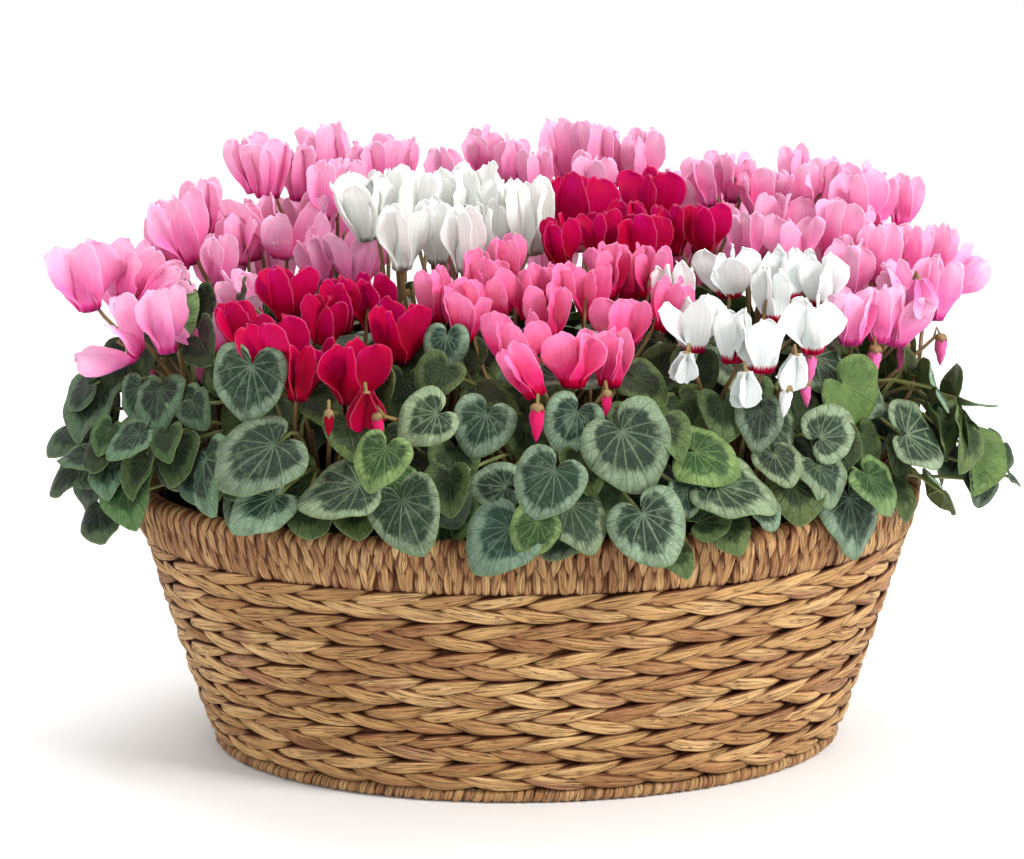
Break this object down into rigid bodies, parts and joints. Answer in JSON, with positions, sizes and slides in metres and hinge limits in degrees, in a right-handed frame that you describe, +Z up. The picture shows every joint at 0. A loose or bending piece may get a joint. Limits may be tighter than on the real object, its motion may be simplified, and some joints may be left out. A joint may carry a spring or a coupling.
{
  "type": "potted cyclamen",
  "caption": "Oval woven planter basket with a liner, soil and a dense planting of nodding miniature cyclamens over silver-patterned heart-shaped leaves.",
  "frame": {"origin": "centre of the basket's flat underside", "axes": "+Z up, +X along the basket's long axis, -Y towards the side that the picture shows"},
  "size_m": [0.4973, 0.3162, 0.3035],
  "materials": {
    "braided_fibre": "dried plant fibre, fat overlapping strands with fine lengthwise grain, matt with a slight sheen",
    "corded_fibre": "two-ply twisted plant-fibre cord, closely wound, matt",
    "floor_fibre": "flat woven plant fibre, matt",
    "hoop": "round cane rod, matt",
    "liner_plastic": "thin black plastic, slightly glossy",
    "potting_soil": "dark crumbly potting mix, matt",
    "tuber_skin": "brown corky skin, matt",
    "leaf": "heart-shaped leaves, dark green with a silver-sage margin and pale veins, soft sheen",
    "petals_crimson": "deep crimson petals with fine paler edges, velvety",
    "petals_hot_pink": "hot pink petals with a crimson mouth, velvety",
    "petals_pale_pink": "pale pink petals, deeper at the mouth, velvety",
    "petals_white": "white petals, faintly green at the mouth, velvety",
    "petals_white_red_eye": "white petals with a crimson ring at the mouth, velvety"
  },
  "bodies": {
    "root": {"basket_base": "floor_fibre", "crimson_front_flowers": "petals_crimson", "crimson_front_leaves": "leaf", "crimson_front_tuber": "tuber_skin", "crimson_middle_flowers": "petals_crimson", "crimson_middle_leaves": "leaf", "crimson_middle_tuber": "tuber_skin", "foot_ring": "corded_fibre", "hotpink_front_flowers": "petals_hot_pink", "hotpink_front_leaves": "leaf", "hotpink_front_tuber": "tuber_skin", "liner": "liner_plastic", "palepink_back_centre_flowers": "petals_pale_pink", "palepink_back_centre_leaves": "leaf", "palepink_back_centre_tuber": "tuber_skin", "palepink_back_flowers": "petals_pale_pink", "palepink_back_leaves": "leaf", "palepink_back_left_flowers": "petals_pale_pink", "palepink_back_left_leaves": "leaf", "palepink_back_left_tuber": "tuber_skin", "palepink_back_right_flowers": "petals_pale_pink", "palepink_back_right_leaves": "leaf", "palepink_back_right_tuber": "tuber_skin", "palepink_back_tuber": "tuber_skin", "palepink_far_left_flowers": "petals_pale_pink", "palepink_far_left_leaves": "leaf", "palepink_far_left_tuber": "tuber_skin", "palepink_left_flowers": "petals_pale_pink", "palepink_left_leaves": "leaf", "palepink_left_tuber": "tuber_skin", "palepink_right_flowers": "petals_pale_pink", "palepink_right_leaves": "leaf", "palepink_right_tuber": "tuber_skin", "rim_hoop": "hoop", "rim_wrap": "corded_fibre", "soil": "potting_soil", "wall_braid_1": "braided_fibre", "wall_braid_2": "braided_fibre", "wall_braid_3": "braided_fibre", "wall_braid_4": "braided_fibre", "wall_braid_5": "braided_fibre", "wall_braid_6": "braided_fibre", "wall_braid_7": "braided_fibre", "white_middle_flowers": "petals_white", "white_middle_leaves": "leaf", "white_middle_tuber": "tuber_skin", "whiteeye_front_flowers": "petals_white_red_eye", "whiteeye_front_leaves": "leaf", "whiteeye_front_tuber": "tuber_skin"}
  },
  "joints": []
}
